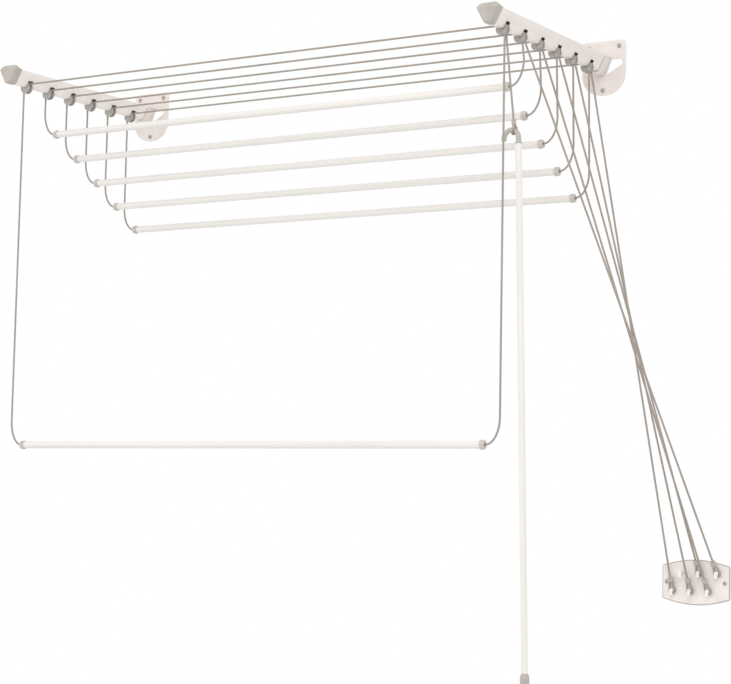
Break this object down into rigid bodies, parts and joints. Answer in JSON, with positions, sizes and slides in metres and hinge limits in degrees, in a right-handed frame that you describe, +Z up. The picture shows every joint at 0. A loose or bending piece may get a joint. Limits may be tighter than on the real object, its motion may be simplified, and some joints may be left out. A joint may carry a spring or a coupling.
{
  "type": "ceiling mounted pulley rack",
  "caption": "Clothes airer on two slotted arms: horizontal bars hang on cords over pulleys and are raised by pull cords hooked low on the wall.",
  "frame": {"origin": "on the wall plane, on the centreline of the left arm, level with the pulley axles", "axes": "+X along the bars from the left arm to the right arm; +Y into the wall; +Z up"},
  "size_m": [1.3275, 0.4323, 1.1518],
  "materials": {
    "painted_steel": "off-white powder coat, satin",
    "white_tube": "white coated tube, satin",
    "grey_plastic": "warm grey moulded plastic",
    "light_grey_plastic": "light grey moulded plastic",
    "white_plastic": "off-white moulded plastic, satin",
    "cord": "braided polyester cord, taupe grey",
    "ferrule": "pale moulded sleeve",
    "screw_steel": "zinc plated"
  },
  "bodies": {
    "frame": {"left_arm": "painted_steel", "right_arm": "painted_steel", "left_wall_plate": "painted_steel", "right_wall_plate": "painted_steel", "left_end_cap": "grey_plastic", "right_end_cap": "grey_plastic", "left_pulley_carrier": "grey_plastic", "right_pulley_carrier": "grey_plastic", "hook_plate": "white_plastic", "left_plate_screw_upper_left": "screw_steel", "left_plate_screw_upper_right": "screw_steel", "left_plate_screw_lower": "screw_steel", "right_plate_screw_upper_left": "screw_steel", "right_plate_screw_upper_right": "screw_steel", "right_plate_screw_lower": "screw_steel", "bar_1_cord": "cord", "bar_2_cord": "cord", "bar_3_cord": "cord", "bar_4_cord": "cord", "bar_5_cord": "cord", "bar_6_cord": "cord"},
    "bar_1_assembly": {"bar_1": "white_tube", "bar_1_left_plug": "grey_plastic", "bar_1_right_plug": "grey_plastic"},
    "bar_2_assembly": {"bar_2": "white_tube", "bar_2_left_plug": "grey_plastic", "bar_2_right_plug": "grey_plastic"},
    "bar_3_assembly": {"bar_3": "white_tube", "bar_3_left_plug": "grey_plastic", "bar_3_right_plug": "grey_plastic"},
    "bar_4_assembly": {"bar_4": "white_tube", "bar_4_left_plug": "grey_plastic", "bar_4_right_plug": "grey_plastic"},
    "bar_5_assembly": {"bar_5": "white_tube", "bar_5_left_plug": "grey_plastic", "bar_5_right_plug": "grey_plastic"},
    "bar_6_assembly": {"bar_6": "white_tube", "bar_6_left_plug": "grey_plastic", "bar_6_right_plug": "grey_plastic"},
    "left_wheel_1_body": {"left_wheel_1": "grey_plastic"},
    "right_wheel_1_body": {"right_wheel_1": "grey_plastic"},
    "left_wheel_2_body": {"left_wheel_2": "grey_plastic"},
    "right_wheel_2_body": {"right_wheel_2": "grey_plastic"},
    "left_wheel_3_body": {"left_wheel_3": "grey_plastic"},
    "right_wheel_3_body": {"right_wheel_3": "grey_plastic"},
    "left_wheel_4_body": {"left_wheel_4": "grey_plastic"},
    "right_wheel_4_body": {"right_wheel_4": "grey_plastic"},
    "left_wheel_5_body": {"left_wheel_5": "grey_plastic"},
    "right_wheel_5_body": {"right_wheel_5": "grey_plastic"},
    "left_wheel_6_body": {"left_wheel_6": "grey_plastic"},
    "right_wheel_6_body": {"right_wheel_6": "grey_plastic"},
    "pull_end_1": {"pull_ferrule_1": "ferrule"},
    "pull_end_2": {"pull_ferrule_2": "ferrule"},
    "pull_end_3": {"pull_ferrule_3": "ferrule"},
    "pull_end_4": {"pull_ferrule_4": "ferrule"},
    "pull_end_5": {"pull_ferrule_5": "ferrule"},
    "pull_end_6": {"pull_ferrule_6": "ferrule"},
    "pole": {"pole_tube": "white_tube", "pole_hook": "light_grey_plastic", "pole_cap": "grey_plastic"}
  },
  "joints": [
    {"name": "bar_1_lift", "type": "slide", "parent": "frame", "child": "bar_1_assembly", "axis": [0, 0, 1], "range_m": [0, 0.4], "deforming": ["bar_1_cord"]},
    {"name": "bar_2_lift", "type": "slide", "parent": "frame", "child": "bar_2_assembly", "axis": [0, 0, 1], "range_m": [-0.4, 0], "deforming": ["bar_2_cord"]},
    {"name": "bar_3_lift", "type": "slide", "parent": "frame", "child": "bar_3_assembly", "axis": [0, 0, 1], "range_m": [-0.4, 0], "deforming": ["bar_3_cord"]},
    {"name": "bar_4_lift", "type": "slide", "parent": "frame", "child": "bar_4_assembly", "axis": [0, 0, 1], "range_m": [-0.4, 0], "deforming": ["bar_4_cord"]},
    {"name": "bar_5_lift", "type": "slide", "parent": "frame", "child": "bar_5_assembly", "axis": [0, 0, 1], "range_m": [-0.4, 0], "deforming": ["bar_5_cord"]},
    {"name": "bar_6_lift", "type": "slide", "parent": "frame", "child": "bar_6_assembly", "axis": [0, 0, 1], "range_m": [-0.4, 0], "deforming": ["bar_6_cord"]},
    {"name": "left_wheel_1_turn", "type": "hinge", "parent": "frame", "child": "left_wheel_1_body", "pos_m": [0, -0.375, 0], "axis": [0, 1, 0], "range_deg": [0, 6761]},
    {"name": "right_wheel_1_turn", "type": "hinge", "parent": "frame", "child": "right_wheel_1_body", "pos_m": [1.04, -0.375, 0], "axis": [0, 1, 0], "range_deg": [0, 6761]},
    {"name": "left_wheel_2_turn", "type": "hinge", "parent": "frame", "child": "left_wheel_2_body", "pos_m": [0, -0.312, 0], "axis": [0, 1, 0], "range_deg": [-6761, 0]},
    {"name": "right_wheel_2_turn", "type": "hinge", "parent": "frame", "child": "right_wheel_2_body", "pos_m": [1.04, -0.312, 0], "axis": [0, 1, 0], "range_deg": [-6761, 0]},
    {"name": "left_wheel_3_turn", "type": "hinge", "parent": "frame", "child": "left_wheel_3_body", "pos_m": [0, -0.249, 0], "axis": [0, 1, 0], "range_deg": [-6761, 0]},
    {"name": "right_wheel_3_turn", "type": "hinge", "parent": "frame", "child": "right_wheel_3_body", "pos_m": [1.04, -0.249, 0], "axis": [0, 1, 0], "range_deg": [-6761, 0]},
    {"name": "left_wheel_4_turn", "type": "hinge", "parent": "frame", "child": "left_wheel_4_body", "pos_m": [0, -0.186, 0], "axis": [0, 1, 0], "range_deg": [-6761, 0]},
    {"name": "right_wheel_4_turn", "type": "hinge", "parent": "frame", "child": "right_wheel_4_body", "pos_m": [1.04, -0.186, 0], "axis": [0, 1, 0], "range_deg": [-6761, 0]},
    {"name": "left_wheel_5_turn", "type": "hinge", "parent": "frame", "child": "left_wheel_5_body", "pos_m": [0, -0.123, 0], "axis": [0, 1, 0], "range_deg": [-6761, 0]},
    {"name": "right_wheel_5_turn", "type": "hinge", "parent": "frame", "child": "right_wheel_5_body", "pos_m": [1.04, -0.123, 0], "axis": [0, 1, 0], "range_deg": [-6761, 0]},
    {"name": "left_wheel_6_turn", "type": "hinge", "parent": "frame", "child": "left_wheel_6_body", "pos_m": [0, -0.06, 0], "axis": [0, 1, 0], "range_deg": [-6761, 0]},
    {"name": "right_wheel_6_turn", "type": "hinge", "parent": "frame", "child": "right_wheel_6_body", "pos_m": [1.04, -0.06, 0], "axis": [0, 1, 0], "range_deg": [-6761, 0]},
    {"name": "pull_end_1_travel", "type": "slide", "parent": "frame", "child": "pull_end_1", "axis": [0.1922, 0.393, -0.8992], "range_m": [0, 0.8]},
    {"name": "pull_end_2_travel", "type": "slide", "parent": "frame", "child": "pull_end_2", "axis": [0.2333, 0.3182, -0.9189], "range_m": [-0.8, 0]},
    {"name": "pull_end_3_travel", "type": "slide", "parent": "frame", "child": "pull_end_3", "axis": [0.2148, 0.2501, -0.9441], "range_m": [-0.8, 0]},
    {"name": "pull_end_4_travel", "type": "slide", "parent": "frame", "child": "pull_end_4", "axis": [0.208, 0.194, -0.9587], "range_m": [-0.8, 0]},
    {"name": "pull_end_5_travel", "type": "slide", "parent": "frame", "child": "pull_end_5", "axis": [0.1869, 0.1227, -0.9747], "range_m": [-0.8, 0]},
    {"name": "pull_end_6_travel", "type": "slide", "parent": "frame", "child": "pull_end_6", "axis": [0.1539, 0.0556, -0.9865], "range_m": [-0.8, 0]},
    {"name": "pole_swing", "type": "hinge", "parent": "pull_end_1", "child": "pole", "pos_m": [1.0542, -0.355, -0.1674], "axis": [0, 1, 0], "range_deg": [-20, 20]}
  ],
  "couplings": [
    {"joint": "left_wheel_1_turn", "follows": "bar_1_lift", "rad_per_m": 294.12},
    {"joint": "right_wheel_1_turn", "follows": "bar_1_lift", "rad_per_m": 294.12},
    {"joint": "left_wheel_2_turn", "follows": "bar_2_lift", "rad_per_m": 294.12},
    {"joint": "right_wheel_2_turn", "follows": "bar_2_lift", "rad_per_m": 294.12},
    {"joint": "left_wheel_3_turn", "follows": "bar_3_lift", "rad_per_m": 294.12},
    {"joint": "right_wheel_3_turn", "follows": "bar_3_lift", "rad_per_m": 294.12},
    {"joint": "left_wheel_4_turn", "follows": "bar_4_lift", "rad_per_m": 294.12},
    {"joint": "right_wheel_4_turn", "follows": "bar_4_lift", "rad_per_m": 294.12},
    {"joint": "left_wheel_5_turn", "follows": "bar_5_lift", "rad_per_m": 294.12},
    {"joint": "right_wheel_5_turn", "follows": "bar_5_lift", "rad_per_m": 294.12},
    {"joint": "left_wheel_6_turn", "follows": "bar_6_lift", "rad_per_m": 294.12},
    {"joint": "right_wheel_6_turn", "follows": "bar_6_lift", "rad_per_m": 294.12},
    {"joint": "pull_end_1_travel", "follows": "bar_1_lift", "ratio": 2},
    {"joint": "pull_end_2_travel", "follows": "bar_2_lift", "ratio": 2},
    {"joint": "pull_end_3_travel", "follows": "bar_3_lift", "ratio": 2},
    {"joint": "pull_end_4_travel", "follows": "bar_4_lift", "ratio": 2},
    {"joint": "pull_end_5_travel", "follows": "bar_5_lift", "ratio": 2},
    {"joint": "pull_end_6_travel", "follows": "bar_6_lift", "ratio": 2}
  ]
}
